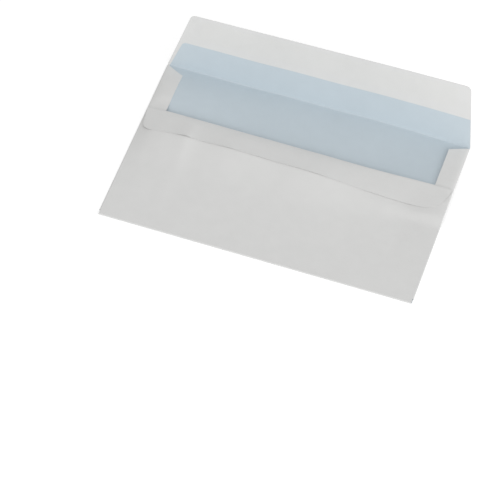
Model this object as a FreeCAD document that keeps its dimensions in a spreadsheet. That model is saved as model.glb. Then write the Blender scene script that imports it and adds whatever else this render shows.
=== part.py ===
import FreeCAD, Part
import Sketcher
import os

# Self-seal window envelope, C6, lying on its front with the back panel up.
# The top flap is open and stands up from its crease, the lower flap is turned
# down over the back panel. X runs along the flap's crease, Y towards the flap,
# Z up. Inside each sub-part the pocket's corner is at X = 0, Y = 0, and the
# placement moves the middle of the whole footprint to the origin.

doc = FreeCAD.newDocument("paper_envelope")
sheet = doc.addObject("Spreadsheet::Sheet", "Sizes")

# Driving sizes, in millimetres and degrees
SIZES = (
    # the closed pocket and the paper it is folded from
    ("body_width", 162.0),
    ("body_height", 114.0),
    ("paper", 0.12),
    # how round the creases are, on the hollow side of the sheet
    ("side_crease", 0.2),
    ("lower_crease", 0.2),
    ("flap_crease", 1.0),
    # window, from the left edge and the foot as the back is seen
    ("window_width", 90.0),
    ("window_height", 45.0),
    ("window_side", 20.0),
    ("window_foot", 15.0),
    ("window_corner", 4.0),
    # side flaps: their width, where they start and the slant of both ends
    ("side_flap_width", 9.9),
    ("side_flap_foot", 3.0),
    ("side_flap_slant", 5.0),
    # back panel: its shortfall at each side and the throat left open above it
    ("back_inset", 0.5),
    ("throat_depth", 34.5),
    # lower flap, turned down over the back panel
    ("lower_flap_height", 16.7),
    ("lower_flap_taper", 3.5),
    ("lower_flap_corner", 7.0),
    ("lower_flap_lift", 8.0),
    # top flap, standing up from its crease
    ("flap_height", 33.5),
    ("flap_inset", 0.2),
    ("flap_taper", 7.5),
    ("flap_corner", 3.0),
    ("flap_angle", 77.0),
    # film behind the window, and the ring of glue that holds it
    ("film", 0.04),
    ("film_lap", 6.0),
    ("film_glue", 0.03),
    ("film_glue_edge", 1.0),
    # glue between the side flaps and the back panel
    ("seam_glue", 0.05),
    ("seam_glue_edge", 1.5),
    # self-seal gum on both flaps
    ("gum", 0.03),
    ("gum_width", 11.0),
    ("gum_edge", 2.5),
    ("gum_end", 6.0),
)
for row, (name, value) in enumerate(SIZES, start=1):
    sheet.set("A%d" % row, name.replace("_", " "))
    sheet.set("B%d" % row, str(value))
    sheet.setAlias("B%d" % row, name)
doc.recompute()

# Heights of the stacked layers
SIDE_LEVEL = "(Sizes.paper + 2 * Sizes.side_crease)"
SEAM_LEVEL = "(%s + Sizes.paper)" % SIDE_LEVEL
BACK_LEVEL = "(%s + Sizes.seam_glue)" % SEAM_LEVEL
BACK_TOP = "(%s + Sizes.paper)" % BACK_LEVEL

# Each crease's outer radius
SIDE_OUT = "(Sizes.side_crease + Sizes.paper)"
FOOT_OUT = "(%s / 2)" % BACK_TOP
LOWER_OUT = "(Sizes.lower_crease + Sizes.paper)"
FLAP_OUT = "(Sizes.flap_crease + Sizes.paper)"

# Where the sheet leaves the flat for the lower flap and for the top flap
FLAP_TURN = "(Sizes.flap_angle * 1 deg)"
FLAP_SETBACK = "(%s * tan(%s / 2))" % (FLAP_OUT, FLAP_TURN)
FLAP_START = "(Sizes.body_height - %s)" % FLAP_SETBACK
LOWER_LIFT = "(Sizes.lower_flap_lift * 1 deg)"
LOWER_TURN = "180 deg - %s" % LOWER_LIFT
LOWER_START = "(Sizes.body_height - Sizes.throat_depth - %s)" % LOWER_OUT
LOWER_AXIS = "(%s + Sizes.lower_crease)" % BACK_TOP

WIDE = "Sizes.body_width"
X_AXIS = FreeCAD.Vector(1, 0, 0)
FIRST_TILT = 10.0
NEAR = 0.01


def new_body(name):
    """One sub-part. Its placement centres the footprint on the origin."""
    body = doc.addObject("PartDesign::Body", name)
    body.Label = name
    depth = "Sizes.body_height + Sizes.flap_height * cos(%s)" % FLAP_TURN
    body.setExpression(".Placement.Base.x", "-%s / 2" % WIDE)
    body.setExpression(".Placement.Base.y", "-(%s) / 2" % depth)
    return body


def new_sketch(body, name, role, base, tilt=None):
    """A sketch on an origin plane, moved by base and tilted about X."""
    sketch = body.newObject("Sketcher::SketchObject", name)
    plane = [item for item in body.Origin.OriginFeatures if item.Role == role][0]
    sketch.AttachmentSupport = [(plane, "")]
    sketch.MapMode = "FlatFace"
    sketch.Visibility = False
    if tilt:
        turn = FreeCAD.Rotation(X_AXIS, FIRST_TILT)
        sketch.AttachmentOffset = FreeCAD.Placement(FreeCAD.Vector(), turn)
        sketch.setExpression(".AttachmentOffset.Rotation.Angle", tilt)
    for axis, rule in base.items():
        sketch.setExpression(".AttachmentOffset.Base." + axis, rule)
    return sketch


def tie(sketch, line, end, across, up):
    """Tie one end of a line to its distances from the sketch's origin."""
    for kind, axis, rule in (("DistanceX", -2, across), ("DistanceY", -1, up)):
        if rule == "0":
            sketch.addConstraint(Sketcher.Constraint("PointOnObject", line, end, axis))
            continue
        size = Sketcher.Constraint(kind, -1, 1, line, end, 1.0)
        index = sketch.addConstraint(size)
        sketch.setExpression("Constraints[%d]" % index, rule)


def outline(sketch, corners):
    """A closed outline of straight lines, every corner tied to the sizes."""
    count = len(corners)
    rough = [FreeCAD.Vector(1 + k % 2, 1 + k, 0) for k in range(count)]
    for k in range(count):
        side = Part.LineSegment(rough[k], rough[(k + 1) % count])
        sketch.addGeometry(side, False)
    for k in range(count):
        meet = Sketcher.Constraint("Coincident", k, 2, (k + 1) % count, 1)
        sketch.addConstraint(meet)
    for k, (across, up) in enumerate(corners):
        tie(sketch, k, 1, across, up)


def oblong(left, foot, width, height):
    """The four corners of an upright oblong."""
    right = "%s + %s" % (left, width)
    top = "%s + %s" % (foot, height)
    return [(left, foot), (right, foot), (right, top), (left, top)]


def tapered(inset, taper, height):
    """The four corners of a flap that narrows from its crease to its edge."""
    low, high = inset, "(%s + %s)" % (inset, taper)
    across = (low, "%s - %s" % (WIDE, low), "%s - %s" % (WIDE, high), high)
    return list(zip(across, ("0", "0", height, height)))


def panel(body, name, corners, base, tilt=None, thick="Sizes.paper"):
    """A flat stretch of sheet: its outline, padded by its thickness."""
    sketch = new_sketch(body, name + "_outline", "XY_Plane", base, tilt)
    outline(sketch, corners)
    pad = body.newObject("PartDesign::Pad", name)
    pad.Profile = sketch
    pad.setExpression("Length", thick)
    doc.recompute()
    return sketch


def crease(body, name, role, shift, start, length, level, hollow, turn, reverse=False):
    """A crease: the edge of a panel, swung about a line on its hollow side."""
    sketch = new_sketch(body, name + "_section", role, {"z": shift})
    outline(sketch, oblong(start, level, length, "Sizes.paper"))
    ends = FreeCAD.Vector(1, 5, 0), FreeCAD.Vector(2, 6, 0)
    axis = sketch.addGeometry(Part.LineSegment(*ends), True)
    height = "%s + Sizes.paper + %s" % (level, hollow)
    tie(sketch, axis, 1, start, height)
    tie(sketch, axis, 2, "%s + %s" % (start, length), height)
    bend = body.newObject("PartDesign::Revolution", name)
    bend.Profile = sketch
    bend.ReferenceAxis = (sketch, ["Axis0"])
    bend.Reversed = reverse
    bend.setExpression("Angle", turn)
    doc.recompute()
    return bend


def cut_opening(body, name, corners):
    """Punch an opening right through the layer at the foot of the stack."""
    sketch = new_sketch(body, name + "_outline", "XY_Plane", {})
    outline(sketch, corners)
    before = body.Tip.Shape.Volume
    pocket = body.newObject("PartDesign::Pocket", name)
    pocket.Profile = sketch
    pocket.Midplane = True
    pocket.Type = "ThroughAll"
    doc.recompute()
    if pocket.Shape.Volume >= before:
        raise RuntimeError(name + " cuts nothing")
    return sketch


def round_corners(body, name, sketch, radius, picked):
    """Round the sheet's upright edges at the picked corners of an outline."""
    corners = [sketch.getPoint(k, 1) for k in picked]
    back = sketch.Placement.inverse()
    sharp = body.Tip
    edges = []
    for number, edge in enumerate(sharp.Shape.Edges, start=1):
        spot = back.multVec(edge.CenterOfMass)
        gaps = [abs(spot.x - at.x) + abs(spot.y - at.y) for at in corners]
        if min(gaps) < NEAR:
            edges.append("Edge%d" % number)
    fillet = body.newObject("PartDesign::Fillet", name)
    fillet.Base = (sharp, edges)
    fillet.setExpression("Radius", radius)
    doc.recompute()


# The blank: one sheet of paper, die-cut, creased and folded. First the front
# panel, with its window, lying face down
blank = new_body("envelope_blank")
front_width = "(%s - 2 * %s)" % (WIDE, SIDE_OUT)
front_height = "(%s - %s)" % (FLAP_START, FOOT_OUT)
panel(blank, "front_panel", oblong(SIDE_OUT, FOOT_OUT, front_width, front_height), {})
window = oblong(
    "Sizes.window_side",
    "Sizes.window_foot",
    "Sizes.window_width",
    "Sizes.window_height",
)
window_sketch = cut_opening(blank, "window_opening", window)
round_corners(blank, "window_corners", window_sketch, "Sizes.window_corner", range(4))

# Side flaps, folded in over the front panel, with slanted ends
side_height = "(%s - Sizes.side_flap_foot)" % FLAP_START
for side in ("left", "right"):
    edge, reach, turn_out = SIDE_OUT, "Sizes.side_flap_width", False
    if side == "right":
        edge = "(%s - %s)" % (WIDE, SIDE_OUT)
        reach = "(%s - Sizes.side_flap_width)" % WIDE
        turn_out = True
    crease(
        blank,
        side + "_side_crease",
        "YZ_Plane",
        edge,
        "Sizes.side_flap_foot",
        side_height,
        "0",
        "Sizes.side_crease",
        "180",
        turn_out,
    )
    corners = [
        (edge, "Sizes.side_flap_foot"),
        (reach, "Sizes.side_flap_foot + Sizes.side_flap_slant"),
        (reach, "%s - Sizes.side_flap_slant" % FLAP_START),
        (edge, FLAP_START),
    ]
    panel(blank, side + "_side_flap", corners, {"z": SIDE_LEVEL})

# Back panel, folded up at the foot and laid over the side flaps
back_width = "(%s - 2 * Sizes.back_inset)" % WIDE
crease(
    blank,
    "foot_crease",
    "XZ_Plane",
    "-" + FOOT_OUT,
    "Sizes.back_inset",
    back_width,
    "0",
    "(%s - Sizes.paper)" % FOOT_OUT,
    "180",
    True,
)
back_height = "(%s - %s)" % (LOWER_START, FOOT_OUT)
back = oblong("Sizes.back_inset", FOOT_OUT, back_width, back_height)
panel(blank, "back_panel", back, {"z": BACK_LEVEL})

# Lower flap, turned outwards and down, its free edge a little raised
crease(
    blank,
    "lower_crease",
    "XZ_Plane",
    "-" + LOWER_START,
    "Sizes.back_inset",
    back_width,
    BACK_LEVEL,
    "Sizes.lower_crease",
    LOWER_TURN,
)
lower_height = "(Sizes.lower_flap_height - %s)" % LOWER_OUT
lower = tapered("Sizes.back_inset", "Sizes.lower_flap_taper", lower_height)
lower_base = {
    "y": "%s + %s * sin(%s)" % (LOWER_START, LOWER_OUT, LOWER_LIFT),
    "z": "%s + %s * cos(%s)" % (LOWER_AXIS, LOWER_OUT, LOWER_LIFT),
}
lower_sketch = panel(blank, "lower_flap", lower, lower_base, LOWER_TURN)
round_corners(blank, "lower_flap_corners", lower_sketch, "Sizes.lower_flap_corner", (2, 3))

# Top flap, standing up from a softer crease
flap_width = "(%s - 2 * Sizes.flap_inset)" % WIDE
crease(
    blank,
    "flap_crease",
    "XZ_Plane",
    "-" + FLAP_START,
    "Sizes.flap_inset",
    flap_width,
    "0",
    "Sizes.flap_crease",
    "Sizes.flap_angle",
)
flap_length = "(Sizes.flap_height - %s)" % FLAP_SETBACK
flap = tapered("Sizes.flap_inset", "Sizes.flap_taper", flap_length)
flap_base = {
    "y": "%s + %s * sin(%s)" % (FLAP_START, FLAP_OUT, FLAP_TURN),
    "z": "%s * (1 - cos(%s))" % (FLAP_OUT, FLAP_TURN),
}
flap_sketch = panel(blank, "top_flap", flap, flap_base, FLAP_TURN)
round_corners(blank, "top_flap_corners", flap_sketch, "Sizes.flap_corner", (2, 3))

# Window glue: a ring printed round the opening, on the inside of the front
film_left = "(Sizes.window_side - Sizes.film_lap)"
film_foot = "(Sizes.window_foot - Sizes.film_lap)"
film_width = "(Sizes.window_width + 2 * Sizes.film_lap)"
film_height = "(Sizes.window_height + 2 * Sizes.film_lap)"
window_glue = new_body("window_glue")
ring = oblong(
    "%s + Sizes.film_glue_edge" % film_left,
    "%s + Sizes.film_glue_edge" % film_foot,
    "(%s - 2 * Sizes.film_glue_edge)" % film_width,
    "(%s - 2 * Sizes.film_glue_edge)" % film_height,
)
panel(window_glue, "glue_ring", ring, {"z": "Sizes.paper"}, None, "Sizes.film_glue")
opening = oblong(
    "Sizes.window_side - Sizes.film_glue_edge",
    "Sizes.window_foot - Sizes.film_glue_edge",
    "(Sizes.window_width + 2 * Sizes.film_glue_edge)",
    "(Sizes.window_height + 2 * Sizes.film_glue_edge)",
)
opening_sketch = cut_opening(window_glue, "glue_opening", opening)
glue_corner = "Sizes.window_corner + Sizes.film_glue_edge"
round_corners(window_glue, "glue_corners", opening_sketch, glue_corner, range(4))

# Window film: a clear patch laid on the glue
window_film = new_body("window_film")
patch = oblong(film_left, film_foot, film_width, film_height)
film_level = {"z": "Sizes.paper + Sizes.film_glue"}
panel(window_film, "film_patch", patch, film_level, None, "Sizes.film")

# Seam glue: a strip on each side flap, under the back panel
seams = []
seam_width = "(Sizes.side_flap_width - %s - 2 * Sizes.seam_glue_edge)" % SIDE_OUT
seam_foot = "(Sizes.side_flap_foot + Sizes.side_flap_slant)"
seam_height = "(%s - %s - Sizes.seam_glue_edge)" % (LOWER_START, seam_foot)
for side in ("left", "right"):
    start = "(%s + Sizes.seam_glue_edge)" % SIDE_OUT
    if side == "right":
        start = "(%s - %s - %s)" % (WIDE, start, seam_width)
    seam = new_body(side + "_seam_glue")
    strip = oblong(start, seam_foot, seam_width, seam_height)
    panel(seam, side + "_glue_strip", strip, {"z": SEAM_LEVEL}, None, "Sizes.seam_glue")
    seams.append(seam)

# Gum: one band inside the top flap, one on the outside of the lower flap,
# which shows only when that flap is turned up
flap_gum = new_body("flap_gum")
gum_left = "(Sizes.flap_inset + Sizes.flap_taper + Sizes.gum_end)"
gum_foot = "(%s - Sizes.gum_edge - Sizes.gum_width)" % flap_length
gum_length = "(%s - 2 * %s)" % (WIDE, gum_left)
gum_base = {
    "y": "%s + Sizes.flap_crease * sin(%s)" % (FLAP_START, FLAP_TURN),
    "z": "%s - Sizes.flap_crease * cos(%s)" % (FLAP_OUT, FLAP_TURN),
}
band = oblong(gum_left, gum_foot, gum_length, "Sizes.gum_width")
panel(flap_gum, "flap_gum_band", band, gum_base, FLAP_TURN, "Sizes.gum")

lower_gum = new_body("lower_flap_gum")
gum_left = "(Sizes.back_inset + Sizes.lower_flap_taper + Sizes.gum_end)"
gum_foot = "(%s - Sizes.gum_edge - Sizes.gum_width)" % lower_height
gum_length = "(%s - 2 * %s)" % (WIDE, gum_left)
gum_base = {
    "y": "%s + Sizes.lower_crease * sin(%s)" % (LOWER_START, LOWER_LIFT),
    "z": "%s + Sizes.lower_crease * cos(%s)" % (LOWER_AXIS, LOWER_LIFT),
}
band = oblong(gum_left, gum_foot, gum_length, "Sizes.gum_width")
panel(lower_gum, "lower_gum_band", band, gum_base, LOWER_TURN, "Sizes.gum")

# Check every object, then write one file for each sub-part
doc.recompute()
for item in doc.Objects:
    if "Invalid" in item.State or "Error" in item.State:
        raise RuntimeError(item.Name + " failed: " + str(item.State))
sub_parts = [blank, window_glue, window_film] + seams + [flap_gum, lower_gum]
for body in sub_parts:
    shape = body.Shape
    if shape.isNull() or not shape.isValid() or len(shape.Solids) != 1:
        raise RuntimeError(body.Label + " is not one sound solid")
os.makedirs("parts", exist_ok=True)
for body in sub_parts:
    body.Shape.exportStep("parts/%s.step" % body.Label)
    box = body.Shape.BoundBox
    print(body.Label, "%.3f mm3" % body.Shape.Volume, box)
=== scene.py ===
import math

import bmesh
import bpy
from mathutils import Matrix, Vector, noise


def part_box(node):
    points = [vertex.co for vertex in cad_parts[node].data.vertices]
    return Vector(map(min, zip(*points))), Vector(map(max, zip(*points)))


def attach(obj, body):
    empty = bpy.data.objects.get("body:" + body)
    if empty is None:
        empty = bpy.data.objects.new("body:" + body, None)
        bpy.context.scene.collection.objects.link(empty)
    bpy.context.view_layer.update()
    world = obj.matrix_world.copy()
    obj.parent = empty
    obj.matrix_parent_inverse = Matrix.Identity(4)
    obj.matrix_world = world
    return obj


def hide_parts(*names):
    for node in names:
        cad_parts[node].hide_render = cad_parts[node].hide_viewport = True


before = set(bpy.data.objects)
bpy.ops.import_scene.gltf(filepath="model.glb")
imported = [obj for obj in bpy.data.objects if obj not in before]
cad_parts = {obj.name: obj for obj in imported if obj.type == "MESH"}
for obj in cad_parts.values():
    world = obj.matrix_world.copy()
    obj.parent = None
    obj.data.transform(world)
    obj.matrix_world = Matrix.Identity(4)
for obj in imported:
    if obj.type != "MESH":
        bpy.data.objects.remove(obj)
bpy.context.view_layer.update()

# A small self-seal window envelope, empty and used once. It lies on its front
# with the back panel up. The top flap is open and stands up from its crease,
# and the lower flap is turned down over the back panel.

# The camera looks down on the envelope from beyond its foot, a little to the
# right, through a long lens, and leans to one side.
CAMERA_DISTANCE = 1.7995
CAMERA_LENS = 0.2737
CAMERA_SENSOR = 0.036
CAMERA_DOWN = math.radians(46.81)
CAMERA_TURN = math.radians(11.54)
CAMERA_LEAN = math.radians(7.48)
CAMERA_AIM = Vector((-0.01003, -0.05115, 0.0))
CAMERA_REACH = 20

turn = Matrix.Rotation(CAMERA_TURN, 3, "Z")
sight = turn @ Vector((0, math.cos(CAMERA_DOWN), -math.sin(CAMERA_DOWN)))
level_right = turn @ Vector((1, 0, 0))
level_up = level_right.cross(sight)
right = level_right * math.cos(CAMERA_LEAN) + level_up * math.sin(CAMERA_LEAN)
up = level_up * math.cos(CAMERA_LEAN) - level_right * math.sin(CAMERA_LEAN)
place = Matrix((right, up, -sight)).transposed().to_4x4()
place.translation = CAMERA_AIM - sight * CAMERA_DISTANCE

lens = bpy.data.cameras.new("camera")
lens.sensor_width = CAMERA_SENSOR * 1000
lens.lens = CAMERA_LENS * 1000
lens.clip_end = CAMERA_REACH
camera = bpy.data.objects.new("camera", lens)
camera.matrix_world = place
bpy.context.scene.collection.objects.link(camera)
bpy.context.scene.camera = camera

# The blank. One sheet of white paper is die-cut flat, with its inside facing
# up: front panel in the middle, side flaps left and right, back panel and
# lower flap below, top flap above. It is folded further on.
MM = 0.001
NEAR = 1e-6
PAPER = 0.12 * MM
MESH_STEP = 1.3 * MM
POCKET_HEIGHT = 114 * MM
blank_low, blank_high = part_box("envelope_blank")
film_low, film_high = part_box("window_film")
POCKET_LEFT, POCKET_RIGHT = blank_low.x, blank_high.x
POCKET_FOOT = blank_low.y
POCKET_TOP = POCKET_FOOT + POCKET_HEIGHT
POCKET_MIDDLE = (POCKET_LEFT + POCKET_RIGHT) / 2
HALF_WIDTH = (POCKET_RIGHT - POCKET_LEFT) / 2

# Each crease: the radius of the paper's middle, how far it turns, and the
# number of small turns that make it
CREASE_TURNS = 8
SIDE_CREASE = (0.26 * MM, math.pi, CREASE_TURNS)
FOOT_CREASE = (0.345 * MM, math.pi, CREASE_TURNS)
LOWER_CREASE = (0.26 * MM, math.radians(172), CREASE_TURNS)
FLAP_CREASE = (1.06 * MM, math.radians(77), CREASE_TURNS)

THROAT = 34.5 * MM
SIDE_FLAP = 9.9 * MM
SIDE_FLAP_FOOT = 3 * MM
SIDE_FLAP_SLANT = 5 * MM
BACK_INSET = 0.5 * MM
LOWER_FLAP = 16.7 * MM
LOWER_TAPER_LEFT = 1.8 * MM
LOWER_TAPER_RIGHT = 3.5 * MM
LOWER_CORNER_LEFT = 5 * MM
LOWER_CORNER_RIGHT = 12 * MM
TOP_FLAP = 33.5 * MM
FLAP_INSET_LEFT = 0.1 * MM
FLAP_INSET_RIGHT = 0.05 * MM
FLAP_TAPER_LEFT = 8.4 * MM
FLAP_TAPER_RIGHT = 6.45 * MM
FLAP_CORNER = 3 * MM
FILM_LAP = 6 * MM
WINDOW_CORNER = 4 * MM
ROUND_CUTS = 7
CORNER_ZONE = 2.5
END_ZONE = 10 * MM


def crease_length(crease):
    return crease[0] * crease[1]


left_line = POCKET_LEFT + SIDE_CREASE[0] + PAPER / 2
right_line = POCKET_RIGHT - SIDE_CREASE[0] - PAPER / 2
foot_line = POCKET_FOOT + FOOT_CREASE[0] + PAPER / 2
lower_start = POCKET_TOP - THROAT - LOWER_CREASE[0] - PAPER / 2
side_foot = POCKET_FOOT + SIDE_FLAP_FOOT
back_line = foot_line - crease_length(FOOT_CREASE)
lower_line = back_line - (lower_start - foot_line)
lower_flat = lower_line - crease_length(LOWER_CREASE)
lower_edge = lower_flat - (LOWER_FLAP - LOWER_CREASE[0] - PAPER / 2)
lower_edge_line = lower_line + lower_flat - lower_edge
setback = (FLAP_CREASE[0] + PAPER / 2) * math.tan(FLAP_CREASE[1] / 2)
flap_line = POCKET_TOP - setback
flap_flat = flap_line + crease_length(FLAP_CREASE)
flap_edge = flap_flat + TOP_FLAP - setback
side_edge = SIDE_FLAP - SIDE_CREASE[0] - PAPER / 2 + crease_length(SIDE_CREASE)
left_edge, right_edge = left_line - side_edge, right_line + side_edge
window = (
    film_low.x + FILM_LAP,
    film_low.y + FILM_LAP,
    film_high.x - FILM_LAP,
    film_high.y - FILM_LAP,
)


def crease_stops(line, side, crease):
    """The lines at which a crease is turned, outwards from where it starts."""
    radius, angle, count = crease
    pitch = radius * angle / count
    return [line + side * (k + 0.5) * pitch for k in range(count)]


def fill_in(stops, step):
    """The stops in order, with even lines between those further apart."""
    stops = sorted(stops)
    lines = [stops[0]]
    for a, b in zip(stops, stops[1:]):
        count = max(1, round((b - a) / step))
        lines += [a + (b - a) * (k + 1) / count for k in range(count)]
    return lines


def flat_sheet(across, along, level):
    """A flat mesh with its lines at the given places."""
    bm = bmesh.new()
    columns, rows = len(across) - 1, len(along) - 1
    bmesh.ops.create_grid(bm, x_segments=columns, y_segments=rows, size=1)
    for vert in bm.verts:
        column = round((vert.co.x + 1) / 2 * columns)
        row = round((vert.co.y + 1) / 2 * rows)
        vert.co = Vector((across[column], along[row], level))
    return bm


def trim(bm, faces, point, normal, clear=True):
    """Cut some faces along a line and drop what lies beyond it."""
    edges = list(dict.fromkeys(edge for face in faces for edge in face.edges))
    verts = list(dict.fromkeys(vert for face in faces for vert in face.verts))
    bmesh.ops.bisect_plane(
        bm,
        geom=verts + edges + faces,
        dist=NEAR,
        plane_co=point,
        plane_no=normal,
        clear_outer=clear,
    )


def faces_where(bm, test):
    return [face for face in bm.faces if test(face.calc_center_median())]


def trim_line(bm, test, start, end):
    """Trim the tested faces to the left of the line from start to end."""
    run = Vector((end[0] - start[0], end[1] - start[1], 0))
    normal = Vector((run.y, -run.x, 0))
    trim(bm, faces_where(bm, test), Vector((*start, 0)), normal)


def corner_planes(before, corner, after, radius):
    """Points and normals of the short cuts that round off a corner."""
    at = Vector((*corner, 0))
    back = (Vector((*before, 0)) - at).normalized()
    on = (Vector((*after, 0)) - at).normalized()
    half = back.angle(on) / 2
    centre = at + (back + on).normalized() * radius / math.sin(half)
    first = (at + back * radius / math.tan(half) - centre).normalized()
    last = (at + on * radius / math.tan(half) - centre).normalized()
    for k in range(ROUND_CUTS):
        share = (k + 0.5) / ROUND_CUTS
        normal = first.slerp(last, share)
        yield centre + normal * radius, normal


def round_off(bm, before, corner, after, radius):
    at = Vector((*corner, 0))

    def near_corner(centre):
        return (Vector((centre.x, centre.y, 0)) - at).length < CORNER_ZONE * radius

    for point, normal in corner_planes(before, corner, after, radius):
        trim(bm, faces_where(bm, near_corner), point, normal)


flap_left, flap_right = POCKET_LEFT + FLAP_INSET_LEFT, POCKET_RIGHT - FLAP_INSET_RIGHT
back_left, back_right = POCKET_LEFT + BACK_INSET, POCKET_RIGHT - BACK_INSET
across = [left_edge, left_line, flap_left, back_left, window[0], window[2]]
across += [right_edge, right_line, flap_right, back_right]
across += crease_stops(left_line, -1, SIDE_CREASE)
across += crease_stops(right_line, 1, SIDE_CREASE)
along = [lower_edge, lower_line, back_line, foot_line, side_foot]
along += [window[1], window[3], flap_line, flap_edge, lower_edge_line]
along += crease_stops(lower_line, -1, LOWER_CREASE)
along += crease_stops(foot_line, -1, FOOT_CREASE)
along += crease_stops(flap_line, 1, FLAP_CREASE)
blank = flat_sheet(fill_in(across, MESH_STEP), fill_in(along, MESH_STEP), PAPER / 2)


def in_blank(centre):
    """True for what the die keeps, apart from slanted and round edges."""
    if centre.y < foot_line:
        return back_left < centre.x < back_right
    if centre.y > flap_line:
        return flap_left < centre.x < flap_right
    return left_line < centre.x < right_line or centre.y > side_foot


waste = faces_where(blank, lambda centre: not in_blank(centre))
bmesh.ops.delete(blank, geom=waste, context="FACES")

# Slanted ends of the side flaps
side_top = flap_line - SIDE_FLAP_SLANT
turned = crease_length(SIDE_CREASE)
left_root, right_root = left_line - turned, right_line + turned
trim_line(blank, lambda c: c.x < left_root and c.y < side_foot + END_ZONE,
          (left_edge, side_foot + SIDE_FLAP_SLANT), (left_root, side_foot))
trim_line(blank, lambda c: c.x > right_root and c.y < side_foot + END_ZONE,
          (right_root, side_foot), (right_edge, side_foot + SIDE_FLAP_SLANT))
trim_line(blank, lambda c: c.x < left_root and c.y > side_top - END_ZONE,
          (left_root, flap_line), (left_edge, side_top))
trim_line(blank, lambda c: c.x > right_root and c.y > side_top - END_ZONE,
          (right_edge, side_top), (right_root, flap_line))

# Slanted sides and round corners of the lower flap and the top flap
lower_tips = back_left + LOWER_TAPER_LEFT, back_right - LOWER_TAPER_RIGHT
flap_tips = flap_left + FLAP_TAPER_LEFT, flap_right - FLAP_TAPER_RIGHT
lower_corners = LOWER_CORNER_LEFT, LOWER_CORNER_RIGHT
flap_corners = FLAP_CORNER, FLAP_CORNER
for near, far, roots, tips, corners in (
    (lower_flat, lower_edge, (back_left, back_right), lower_tips, lower_corners),
    (flap_flat, flap_edge, (flap_left, flap_right), flap_tips, flap_corners),
):
    side = 1 if far > near else -1
    left_root_end, right_root_end = (roots[0], near), (roots[1], near)
    left_tip, right_tip = (tips[0], far), (tips[1], far)

    def on_flap(centre):
        return (centre.y - near) * side > 0

    for start, end in ((left_tip, left_root_end), (right_root_end, right_tip)):
        if side > 0:
            trim_line(blank, on_flap, start, end)
        else:
            trim_line(blank, on_flap, end, start)
    round_off(blank, left_root_end, left_tip, right_tip, corners[0])
    round_off(blank, left_tip, right_tip, right_root_end, corners[1])

# The window, with round corners
window_corners = [
    (window[0], window[1]),
    (window[2], window[1]),
    (window[2], window[3]),
    (window[0], window[3]),
]
for k, corner in enumerate(window_corners):
    before, after = window_corners[k - 1], window_corners[(k + 1) % 4]

    def near_window_corner(centre):
        off = max(abs(centre.x - corner[0]), abs(centre.y - corner[1]))
        return off < WINDOW_CORNER + MESH_STEP

    for point, normal in corner_planes(before, corner, after, WINDOW_CORNER):
        trim(blank, faces_where(blank, near_window_corner), point, normal, clear=False)


def in_window(centre):
    inner_x = min(max(centre.x, window[0] + WINDOW_CORNER), window[2] - WINDOW_CORNER)
    inner_y = min(max(centre.y, window[1] + WINDOW_CORNER), window[3] - WINDOW_CORNER)
    return math.hypot(centre.x - inner_x, centre.y - inner_y) < WINDOW_CORNER


punched = faces_where(blank, in_window)
bmesh.ops.delete(blank, geom=punched, context="FACES")

# The blank's finish. The paper is uncoated and faintly cloudy, with a fine felt
# of fibres. Inside it is printed pale grey-blue, but for a bare band along the
# top flap's edge and all of the lower flap.
WHITE = (0.74, 0.74, 0.732, 1)
TINT = (0.575, 0.65, 0.70, 1)
CLOUD_DEPTH = 0.05
FIBRE_DEPTH = 0.00003


def group_socket(group, name, kind, direction, default=None):
    socket = group.interface.new_socket(name=name, in_out=direction, socket_type=kind)
    if default is not None:
        socket.default_value = default


def paper_grain_group():
    """Cloudiness as a factor near 1, and the height of the fibres."""
    group = bpy.data.node_groups.new("paper grain", "ShaderNodeTree")
    group_socket(group, "Cloud", "NodeSocketFloat", "INPUT", CLOUD_DEPTH)
    group_socket(group, "Factor", "NodeSocketFloat", "OUTPUT")
    group_socket(group, "Height", "NodeSocketFloat", "OUTPUT")
    nodes, links = group.nodes, group.links
    enter, leave = nodes.new("NodeGroupInput"), nodes.new("NodeGroupOutput")
    place = nodes.new("ShaderNodeTexCoord")
    cloud = nodes.new("ShaderNodeTexNoise")
    cloud.inputs["Scale"].default_value = 160
    cloud.inputs["Detail"].default_value = 5
    fibre = nodes.new("ShaderNodeTexNoise")
    fibre.inputs["Scale"].default_value = 2600
    fibre.inputs["Detail"].default_value = 3
    for texture in (cloud, fibre):
        links.new(place.outputs["Object"], texture.inputs["Vector"])
    spread = nodes.new("ShaderNodeMath")
    spread.operation = "SUBTRACT"
    spread.inputs[1].default_value = 0.5
    links.new(cloud.outputs["Fac"], spread.inputs[0])
    amount = nodes.new("ShaderNodeMath")
    amount.operation = "MULTIPLY_ADD"
    amount.inputs[2].default_value = 1
    links.new(spread.outputs[0], amount.inputs[0])
    links.new(enter.outputs["Cloud"], amount.inputs[1])
    links.new(amount.outputs[0], leave.inputs["Factor"])
    links.new(fibre.outputs["Fac"], leave.inputs["Height"])
    return group


paper_grain = paper_grain_group()


def paper_material(name, roughness):
    """An uncoated surface with the paper's grain, and the node that shades it."""
    material = bpy.data.materials.new(name)
    material.use_nodes = True
    nodes, links = material.node_tree.nodes, material.node_tree.links
    shader = nodes["Principled BSDF"]
    shader.inputs["Roughness"].default_value = roughness
    shader.inputs["Specular IOR Level"].default_value = 0.25
    grain = nodes.new("ShaderNodeGroup")
    grain.node_tree = paper_grain
    grain.inputs["Cloud"].default_value = CLOUD_DEPTH
    bump = nodes.new("ShaderNodeBump")
    bump.inputs["Strength"].default_value = 0.25
    bump.inputs["Distance"].default_value = FIBRE_DEPTH
    links.new(grain.outputs["Height"], bump.inputs["Height"])
    links.new(bump.outputs["Normal"], shader.inputs["Normal"])
    shade = nodes.new("ShaderNodeMix")
    shade.data_type = "RGBA"
    shade.blend_type = "MULTIPLY"
    shade.inputs["Factor"].default_value = 1
    shade.inputs["A"].default_value = WHITE
    links.new(grain.outputs["Factor"], shade.inputs["B"])
    links.new(shade.outputs["Result"], shader.inputs["Base Color"])
    return material, shade


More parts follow.
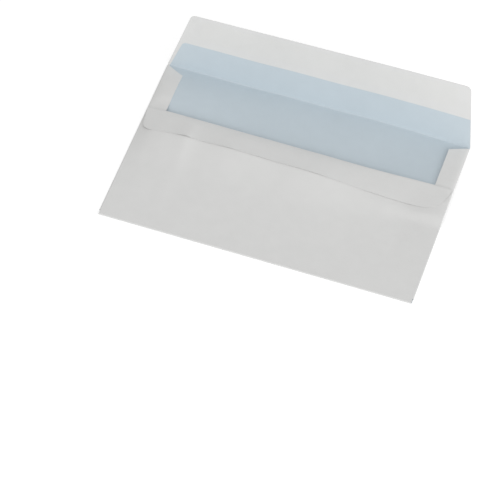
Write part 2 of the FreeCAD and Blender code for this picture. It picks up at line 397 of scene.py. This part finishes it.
outside_paper, _ = paper_material("white paper", 0.72)
inside_paper, shade = paper_material("printed paper", 0.7)

# The print's place on the flat sheet: four sides and a cut corner, each as a
# half plane, and a mask that is 1 where every one of them holds
PRINT_TOP_LEFT = 15.9 * MM
PRINT_TOP_RIGHT = 15.6 * MM
PRINT_CORNER = 1.2 * MM
PRINT_SIDE_LEFT = 2.2 * MM
PRINT_SIDE_RIGHT = 0.2 * MM
PRINT_BLUR = 0.12 * MM
nodes, links = inside_paper.node_tree.nodes, inside_paper.node_tree.links
sheet_place = nodes.new("ShaderNodeUVMap")
sheet_place.uv_map = "flat"


def printed_side(point, other):
    """A node that is 1 to the right of the line from point to other."""
    run = Vector((other[0] - point[0], other[1] - point[1], 0)).normalized()
    normal = Vector((run.y, -run.x, 0))
    dot = nodes.new("ShaderNodeVectorMath")
    dot.operation = "DOT_PRODUCT"
    dot.inputs[1].default_value = normal
    links.new(sheet_place.outputs["UV"], dot.inputs[0])
    edge = nodes.new("ShaderNodeMapRange")
    edge.interpolation_type = "SMOOTHSTEP"
    start = normal.dot(Vector((*point, 0)))
    edge.inputs["From Min"].default_value = start - PRINT_BLUR
    edge.inputs["From Max"].default_value = start + PRINT_BLUR
    links.new(dot.outputs["Value"], edge.inputs["Value"])
    return edge.outputs["Result"]


flap_base = flap_flat - setback
print_left = flap_left + FLAP_TAPER_LEFT * PRINT_TOP_LEFT / TOP_FLAP + PRINT_SIDE_LEFT
print_top = flap_base + PRINT_TOP_LEFT
print_corner = (print_left - PRINT_CORNER / 2, print_top - PRINT_CORNER)
print_sides = [
    printed_side((POCKET_LEFT, print_top), (POCKET_RIGHT, flap_base + PRINT_TOP_RIGHT)),
    printed_side((POCKET_RIGHT, lower_line), (POCKET_LEFT, lower_line)),
    printed_side((flap_left + PRINT_SIDE_LEFT / 2, flap_base), (print_left, print_top)),
    printed_side(print_corner, (print_left + PRINT_CORNER, print_top)),
    printed_side((flap_tips[1] - PRINT_SIDE_RIGHT, flap_edge), (flap_right - PRINT_SIDE_RIGHT, flap_flat)),
]
mask = print_sides[0]
for side in print_sides[1:]:
    both = nodes.new("ShaderNodeMath")
    both.operation = "MULTIPLY"
    links.new(mask, both.inputs[0])
    links.new(side, both.inputs[1])
    mask = both.outputs[0]
ink = nodes.new("ShaderNodeMix")
ink.data_type = "RGBA"
ink.inputs["A"].default_value = WHITE
ink.inputs["B"].default_value = TINT
links.new(mask, ink.inputs["Factor"])
links.new(ink.outputs["Result"], shade.inputs["A"])

# The self-seal gum: two bands of latex, laid on the flat blank inside the top
# flap and outside the lower flap, and dried to a thin clear skin.
GUM = 0.03 * MM
GUM_WIDTH = 11 * MM
GUM_EDGE = 2.5 * MM
GUM_END = 6 * MM
GUM_COLOUR = (0.74, 0.74, 0.728, 1)

flap_gum = flat_sheet(
    fill_in([flap_tips[0] + GUM_END, flap_tips[1] - GUM_END], MESH_STEP),
    fill_in([flap_edge - GUM_EDGE - GUM_WIDTH, flap_edge - GUM_EDGE], MESH_STEP),
    PAPER + GUM / 2,
)
lower_gum = flat_sheet(
    fill_in([lower_tips[0] + GUM_END, lower_tips[1] - GUM_END], MESH_STEP),
    fill_in([lower_edge + GUM_EDGE, lower_edge + GUM_EDGE + GUM_WIDTH], MESH_STEP),
    -GUM / 2,
)
gum_material, gum_shade = paper_material("dried gum", 0.45)
gum_shade.inputs["A"].default_value = GUM_COLOUR

# The seam glue: a strip on the outside of each side flap, where the back panel
# will lie on it, dried dull and faintly yellow.
SEAM_GLUE = 0.05 * MM
SEAM_EDGE = 1.5 * MM
GLUE_COLOUR = (0.72, 0.71, 0.67, 1)

seam_span = [side_foot + SIDE_FLAP_SLANT, lower_start - SEAM_EDGE]
left_seam = flat_sheet(
    fill_in([left_edge + SEAM_EDGE, left_root - SEAM_EDGE], MESH_STEP),
    fill_in(seam_span, MESH_STEP),
    -SEAM_GLUE / 2,
)
right_seam = flat_sheet(
    fill_in([right_root + SEAM_EDGE, right_edge - SEAM_EDGE], MESH_STEP),
    fill_in(seam_span, MESH_STEP),
    -SEAM_GLUE / 2,
)
glue_material, glue_shade = paper_material("dried glue", 0.5)
glue_shade.inputs["A"].default_value = GLUE_COLOUR

# Folding. Paper, gum and glue are folded together, so each mesh keeps its flat
# places, to fold by and to print by. Each crease is a row of small turns.
layers = [blank, flap_gum, lower_gum, left_seam, right_seam]
for bm in layers:
    flat = bm.verts.layers.float_vector.new("flat")
    for vert in bm.verts:
        vert[flat] = vert.co
    uv = bm.loops.layers.uv.new("flat")
    for face in bm.faces:
        for loop in face.loops:
            loop[uv].uv = loop.vert.co.xy


def fold(axis, line, side, crease, sense):
    """Fold what lies beyond a line: small equal turns, the outermost first."""
    radius, angle, count = crease
    for stop in reversed(crease_stops(line, side, crease)):
        pivot = Vector((0, 0, PAPER / 2))
        pivot[1 - axis] = stop
        matrix = Matrix.Rotation(sense * angle / count, 3, "XY"[axis])
        for bm in layers:
            flat = bm.verts.layers.float_vector["flat"]
            beyond = [v for v in bm.verts if (v[flat][1 - axis] - stop) * side > NEAR]
            bmesh.ops.rotate(bm, cent=pivot, matrix=matrix, verts=beyond)


# The lower flap is turned outwards, the side flaps inwards, then the back
# panel up at the foot, and last the top flap up
fold(0, lower_line, -1, LOWER_CREASE, 1)
fold(1, left_line, -1, SIDE_CREASE, 1)
fold(1, right_line, 1, SIDE_CREASE, -1)
fold(0, foot_line, -1, FOOT_CREASE, -1)
fold(0, flap_line, 1, FLAP_CREASE, 1)

# Springy paper. Once folded, nothing is quite flat: the sheet is faintly wavy,
# and its panels start and end their bends softly. Places across the envelope
# run from -1 at the left side to 1 at the right.
WAVE = 0.12 * MM
WAVE_LENGTH = 22 * MM
RIPPLE = 0.5
RIPPLE_PITCH = 2.3


def ease(share):
    share = min(max(share, 0), 1)
    return share * share * (3 - 2 * share)


def along_table(table, value):
    """A smooth curve through the pairs of a short table."""
    last = len(table) - 2
    k = min(max(sum(1 for place, _ in table if place <= value) - 1, 0), last)
    (x0, y0), (x1, y1) = table[k], table[k + 1]
    before, after = table[max(k - 1, 0)], table[min(k + 2, last + 1)]
    step = x1 - x0
    rise0 = (y1 - before[1]) / (x1 - before[0]) * step
    rise1 = (after[1] - y0) / (after[0] - x0) * step
    t = min(max((value - x0) / step, 0), 1)
    bend = rise0 * t * (1 - t) ** 2 - rise1 * t * t * (1 - t)
    return y0 + (y1 - y0) * ease(t) + bend


def wave(x, y):
    """Slow unevenness of the paper, up or down."""
    point = Vector((x, y, 0)) / WAVE_LENGTH
    return WAVE * (noise.noise(point) + RIPPLE * noise.noise(point * RIPPLE_PITCH))


def rolled(distance, reach):
    """From 0 at a side crease to 1 further in, ever flatter."""
    return 1 - (1 - min(max(distance / reach, 0), 1)) ** 2


def turn_about(vert, y, z, angle):
    """Turn a point about a line along X."""
    matrix = Matrix.Rotation(angle, 3, "X")
    pivot = Vector((vert.co.x, y, z))
    vert.co = matrix @ (vert.co - pivot) + pivot


# The pocket's ends. Left and right of the throat the whole pocket is drawn up
# off the table: at the left above the lower flap's crease, at the right from
# below the lower flap's edge.
LEFT_LIFT = 1.5 * MM
LEFT_LIFT_ROLL = 11 * MM
LEFT_LIFT_REACH = 60 * MM
LEFT_LIFT_START = 12 * MM
LEFT_LIFT_END = 18 * MM
RIGHT_LIFT = 1.9 * MM
RIGHT_LIFT_REACH = 44 * MM
RIGHT_LIFT_START = 52.5 * MM
RIGHT_LIFT_FULL = 60.5 * MM


def pocket_lift(x, y):
    """How far the pocket is drawn up at its left and right ends."""
    from_left, from_right, up = x - POCKET_LEFT, POCKET_RIGHT - x, y - POCKET_FOOT
    left = rolled(from_left, LEFT_LIFT_ROLL) * ease(1 - from_left / LEFT_LIFT_REACH)
    left *= ease((y - lower_start) / LEFT_LIFT_START) * ease((POCKET_TOP - y) / LEFT_LIFT_END)
    right = ease(1 - from_right / RIGHT_LIFT_REACH) * ease((POCKET_TOP - y) / THROAT)
    right *= ease((up - RIGHT_LIFT_START) / (RIGHT_LIFT_FULL - RIGHT_LIFT_START))
    return LEFT_LIFT * left + RIGHT_LIFT * right


# The lower flap springs up from its crease. It is raised over its left and
# middle and dips towards the right, with two small kinks in its free edge. A
# table gives its slope in degrees, and each kink has a place and its degrees.
# It is steepest at its crease, and its right end stays level across.
FLAP_SLOPES = (
    (-1.0, 1.5), (-0.92, 4.2), (-0.86, 6.0), (-0.77, 8.4), (-0.68, 10.3), (-0.6, 9.4), (-0.5, 10.4),
    (-0.38, 11.5), (-0.2, 10.4), (-0.07, 9.8), (0.06, 10.2), (0.24, 8.2), (0.43, 3.2), (0.53, 1.0),
    (0.6, -0.5), (0.68, -2.2), (0.76, -3.4), (0.83, -3.0), (0.9, -2.2), (1.0, -1.0),
)
FLAP_KINKS = ((-0.68, 1.3), (-0.4, 0.6))
KINK_BEFORE = 0.09
KINK_AFTER = 0.04
FLAP_CURL = 0.9
LEVEL_BY = 0.5
lower_axis = PAPER / 2 + 2 * FOOT_CREASE[0] + LOWER_CREASE[0]
lower_length = lower_flat - lower_edge
lower_lift = math.pi - LOWER_CREASE[1]


def kink(share):
    """Degrees that the lower flap's edge is turned up beside its kinks."""
    turned_up = 0
    for place, rise in FLAP_KINKS:
        off = share - place
        turned_up += rise * ease(1 - abs(off) / (KINK_AFTER if off > 0 else KINK_BEFORE))
    return turned_up


def soften_lower_flap(vert, flat_y, share):
    x, bent = vert.co.x, lower_line - flat_y
    out = min(max((lower_flat - flat_y) / lower_length, 0), 1)
    slope = along_table(FLAP_SLOPES, share) * (1 + FLAP_CURL * (1 - out) ** 2)
    slope += kink(share) * out * out
    angle = (lower_lift - math.radians(slope)) * ease(bent / crease_length(LOWER_CREASE))
    turn_about(vert, lower_start, lower_axis, angle)
    level = swell(x, lower_start)
    level += (swell(min(x, POCKET_RIGHT - RIGHT_ROLL), lower_start) - level) * ease(out / LEVEL_BY)
    vert.co.z += level + pocket_lift(x, lower_start)


# The back panel and the side flaps. The pocket stands a little open at its
# throat, so they are swollen off the front panel, less at the right, where the
# whole pocket is raised instead. Under the lower flap's free edge the back
# panel rises in a ridge that almost touches it.
THROAT_SWELL = 1.0 * MM
SWELL_START = 40 * MM
SWELL_START_RIGHT = 50 * MM
SWELL_FULL = 64 * MM
LEFT_ROLL = 16 * MM
RIGHT_ROLL = 4 * MM
RIGHT_ROLL_LOW = 24 * MM
RIGHT_ROLL_CHANGE = 12 * MM
RIGHT_LOSS = 0.75
RIDGE_BEND = 2.5
RIDGE_KINK = 0.25
RIDGE_ROLL_LEFT = 9 * MM
RIDGE_ROLL_RIGHT = 16 * MM
RIDGE_GAP = 0.1 * MM
RIDGE_GAP_RISE = 0.6
SIDE_FLAP_RISE = 0.25
SIDE_FLAP_START = 8 * MM
SIDE_FLAP_LOOSE = 0.02 * MM
panel_run = lower_start - lower_length - POCKET_FOOT


def ridge_height(share):
    """How far the back panel stands off just under the lower flap's edge."""
    slope = math.radians(along_table(FLAP_SLOPES, share) + RIDGE_KINK * kink(share))
    edge = lower_axis + LOWER_CREASE[0] + lower_length * math.sin(slope)
    gap = RIDGE_GAP * (1 + RIDGE_GAP_RISE * share)
    return edge - gap - 2 * FOOT_CREASE[0] - 1.5 * PAPER


def swell(x, y):
    """How far the back panel and the side flaps stand off the front panel."""
    share = (x - POCKET_MIDDLE) / HALF_WIDTH
    up = y - POCKET_FOOT
    from_left, from_right = x - POCKET_LEFT, POCKET_RIGHT - x
    above = ease((y - lower_start) / THROAT)
    start = SWELL_START + (SWELL_START_RIGHT - SWELL_START) * ease(share)
    base = THROAT_SWELL * (ease((up - start) / (SWELL_FULL - start)) + SIDE_FLAP_RISE * above)
    base *= 1 - RIGHT_LOSS * ease(1 - from_right / RIGHT_LIFT_REACH)
    change = ease((up - RIGHT_LIFT_START) / RIGHT_ROLL_CHANGE)
    right_roll = RIGHT_ROLL_LOW + (RIGHT_ROLL - RIGHT_ROLL_LOW) * change
    sides = rolled(from_left, LEFT_ROLL) * rolled(from_right, right_roll)
    off = (y - lower_start) / lower_length + 1
    if off > 0:
        ridge = max(1 - off, 0)
    else:
        ridge = max(up / panel_run, 0) ** RIDGE_BEND
    ridge *= rolled(from_left, RIDGE_ROLL_LEFT) * rolled(from_right, RIDGE_ROLL_RIGHT)
    height = sides * (base + wave(x, y) * (1 - ridge)) + ridge_height(share) * ridge
    if share > 0:
        return height
    # The left side flap lies down on the front panel above the throat's edge
    free = ease((y - lower_start) / SIDE_FLAP_START)
    down = (2 * SIDE_CREASE[0] - PAPER - SIDE_FLAP_LOOSE) * ease(from_left / SIDE_FLAP)
    return height * (1 - free) - down * free


# The top flap stands up from its crease and is twisted: steeper at the left,
# leaning back at the right. The front panel is drawn up to its crease, by the
# millimetres of a table, and the flap turns with that, in degrees a metre.
TOP_FLAP_LEFT = 3.8
TOP_FLAP_RIGHT = -6.2
TOP_WAVE_START = 10 * MM
FOLD_LIFT = (
    (-1.0, 0.0), (-0.75, 0.2), (-0.45, 0.2), (-0.2, 0.8), (0.1, 0.9), (0.35, 1.4), (0.6, 1.25),
    (0.8, 0.75), (1.0, 0.0),
)
LIFT_TURN = 2100
flap_normal = Vector((0, -math.sin(FLAP_CREASE[1]), math.cos(FLAP_CREASE[1])))


def fold_lift(x, y):
    """How far the front panel is drawn up towards the top flap's crease."""
    share = (x - POCKET_MIDDLE) / HALF_WIDTH
    run = min(max((y - lower_start) / THROAT, 0), 1)
    return along_table(FOLD_LIFT, share) * MM * run * run


def soften_top_flap(vert, flat_y, share):
    x, beyond = vert.co.x, flat_y - flap_line
    vert.co += flap_normal * wave(x, flat_y) * ease(beyond / TOP_WAVE_START)
    lift = fold_lift(x, POCKET_TOP)
    twist = TOP_FLAP_LEFT + (TOP_FLAP_RIGHT - TOP_FLAP_LEFT) * (share + 1) / 2
    angle = math.radians(twist + lift * LIFT_TURN)
    turn_about(vert, POCKET_TOP, PAPER / 2, angle * ease(beyond / crease_length(FLAP_CREASE)))
    vert.co.z += lift


# Now every point of paper, gum and glue is moved by the panel that it is on
for bm in layers:
    flat = bm.verts.layers.float_vector["flat"]
    for vert in bm.verts:
        x, y, z = vert.co
        share = (x - POCKET_MIDDLE) / HALF_WIDTH
        if vert[flat].y > flap_line:
            soften_top_flap(vert, vert[flat].y, share)
        elif vert[flat].y < lower_line:
            soften_lower_flap(vert, vert[flat].y, share)
        elif vert[flat].y < foot_line:
            off_front = swell(x, y) * min(1, z / (2 * FOOT_CREASE[0]))
            vert.co.z += off_front + pocket_lift(x, y)
        elif vert[flat].x < left_line or vert[flat].x > right_line:
            off_front = swell(x, y) * min(1, z / (2 * SIDE_CREASE[0]))
            vert.co.z += off_front + pocket_lift(x, y) + fold_lift(x, y)
        else:
            vert.co.z += pocket_lift(x, y) + fold_lift(x, y)

# Thickness and finish. Each folded layer gets its own thickness on both sides
# of its middle. The blank comes first, printed side in, then gum and glue.
SHARP = math.radians(50)


def finish_layer(bm, name, thickness, node, materials):
    """Turn a folded layer into a piece with its thickness."""
    mesh = bpy.data.meshes.new(name)
    bm.to_mesh(mesh)
    bm.free()
    mesh.shade_smooth()
    piece = bpy.data.objects.new(name, mesh)
    bpy.context.scene.collection.objects.link(piece)
    for material in materials:
        mesh.materials.append(material)
    solid = piece.modifiers.new("thickness", "SOLIDIFY")
    solid.thickness = thickness
    solid.offset = 0
    if len(materials) > 1:
        solid.material_offset = 1
        solid.material_offset_rim = 1
    depsgraph = bpy.context.evaluated_depsgraph_get()
    piece.data = bpy.data.meshes.new_from_object(piece.evaluated_get(depsgraph))
    piece.data.name = name
    piece.modifiers.clear()
    piece.data.set_sharp_from_angle(angle=SHARP)
    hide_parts(node)
    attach(piece, "root")
    return piece


sheet_materials = [inside_paper, outside_paper]
finish_layer(blank, "folded_paper", PAPER, "envelope_blank", sheet_materials)
finish_layer(flap_gum, "top_flap_gum", GUM, "flap_gum", [gum_material])
finish_layer(lower_gum, "lower_flap_gum_band", GUM, "lower_flap_gum", [gum_material])
finish_layer(left_seam, "left_seam", SEAM_GLUE, "left_seam_glue", [glue_material])
finish_layer(right_seam, "right_seam", SEAM_GLUE, "right_seam_glue", [glue_material])

# The window film, a clear glossy patch, is glued behind the window by a ring of
# glue. Both are flat, so the parts as built show, with their own finishes.
FILM_COLOUR = (0.95, 0.96, 0.97, 1)
FILM_CLEAR = 0.3
FILM_RIPPLE = 0.0006
film_material = bpy.data.materials.new("window film")
film_material.use_nodes = True
nodes, links = film_material.node_tree.nodes, film_material.node_tree.links
film_shader = nodes["Principled BSDF"]
film_shader.inputs["Base Color"].default_value = FILM_COLOUR
film_shader.inputs["Roughness"].default_value = 0.12
film_shader.inputs["Alpha"].default_value = FILM_CLEAR
ripple = nodes.new("ShaderNodeTexNoise")
ripple.inputs["Scale"].default_value = 45
ripple.inputs["Detail"].default_value = 1
place = nodes.new("ShaderNodeTexCoord")
links.new(place.outputs["Object"], ripple.inputs["Vector"])
bump = nodes.new("ShaderNodeBump")
bump.inputs["Strength"].default_value = 0.3
bump.inputs["Distance"].default_value = FILM_RIPPLE
links.new(ripple.outputs["Fac"], bump.inputs["Height"])
links.new(bump.outputs["Normal"], film_shader.inputs["Normal"])
for node, material in (("window_film", film_material), ("window_glue", glue_material)):
    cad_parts[node].data.materials.clear()
    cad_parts[node].data.materials.append(material)

# The floor: a wide white table. To the camera it is pure white but for the
# envelope's soft shadow.
FLOOR_SIZE = 6.0
FLOOR_LIFT = 0.42
FLOOR_COLOUR = (0.8, 0.8, 0.8, 1)
PURE_WHITE = (1, 1, 1, 1)


def shown_rays(nodes, links):
    """An output that is 1 for rays that show a backdrop, straight or in gloss."""
    rays = nodes.new("ShaderNodeLightPath")
    seen = nodes.new("ShaderNodeMath")
    seen.operation = "MAXIMUM"
    links.new(rays.outputs["Is Camera Ray"], seen.inputs[0])
    links.new(rays.outputs["Is Glossy Ray"], seen.inputs[1])
    shown = nodes.new("ShaderNodeMath")
    shown.operation = "MAXIMUM"
    links.new(seen.outputs[0], shown.inputs[0])
    links.new(rays.outputs["Is Transmission Ray"], shown.inputs[1])
    return shown.outputs[0]


bm = bmesh.new()
bmesh.ops.create_grid(bm, x_segments=1, y_segments=1, size=FLOOR_SIZE / 2)
floor_mesh = bpy.data.meshes.new("floor")
bm.to_mesh(floor_mesh)
bm.free()
floor = bpy.data.objects.new("floor", floor_mesh)
bpy.context.scene.collection.objects.link(floor)
floor_material = bpy.data.materials.new("white table")
floor_material.use_nodes = True
nodes, links = floor_material.node_tree.nodes, floor_material.node_tree.links
floor_shader = nodes["Principled BSDF"]
floor_shader.inputs["Base Color"].default_value = FLOOR_COLOUR
floor_shader.inputs["Roughness"].default_value = 0.9
floor_shader.inputs["Specular IOR Level"].default_value = 0
floor_shader.inputs["Emission Color"].default_value = PURE_WHITE
glow = nodes.new("ShaderNodeMath")
glow.operation = "MULTIPLY"
glow.inputs[1].default_value = FLOOR_LIFT
links.new(shown_rays(nodes, links), glow.inputs[0])
links.new(glow.outputs[0], floor_shader.inputs["Emission Strength"])
floor_mesh.materials.append(floor_material)

# Light: an even white studio, with one large soft lamp low down to the right
# of the envelope's foot, so that it grazes the paper.
AIR_LIGHT = 0.753
LAMP_PLACE = (4.0, -2.4, 1.0)
LAMP_SIZE = 2.0
LAMP_POWER = 112
world = bpy.data.worlds.new("studio")
bpy.context.scene.world = world
world.use_nodes = True
nodes, links = world.node_tree.nodes, world.node_tree.links
air = nodes["Background"]
air.inputs["Color"].default_value = PURE_WHITE
air.inputs["Strength"].default_value = AIR_LIGHT
backdrop = nodes.new("ShaderNodeBackground")
backdrop.inputs["Strength"].default_value = 1
pick = nodes.new("ShaderNodeMixShader")
links.new(shown_rays(nodes, links), pick.inputs["Fac"])
links.new(air.outputs[0], pick.inputs[1])
links.new(backdrop.outputs[0], pick.inputs[2])
links.new(pick.outputs[0], nodes["World Output"].inputs["Surface"])

lamp = bpy.data.lights.new("key lamp", "AREA")
lamp.size = LAMP_SIZE
lamp.energy = LAMP_POWER
lamp_holder = bpy.data.objects.new("key lamp", lamp)
lamp_holder.location = LAMP_PLACE
lamp_holder.rotation_euler = (-Vector(LAMP_PLACE)).to_track_quat("-Z", "Y").to_euler()
bpy.context.scene.collection.objects.link(lamp_holder)
bpy.context.scene.view_settings.view_transform = "Standard"
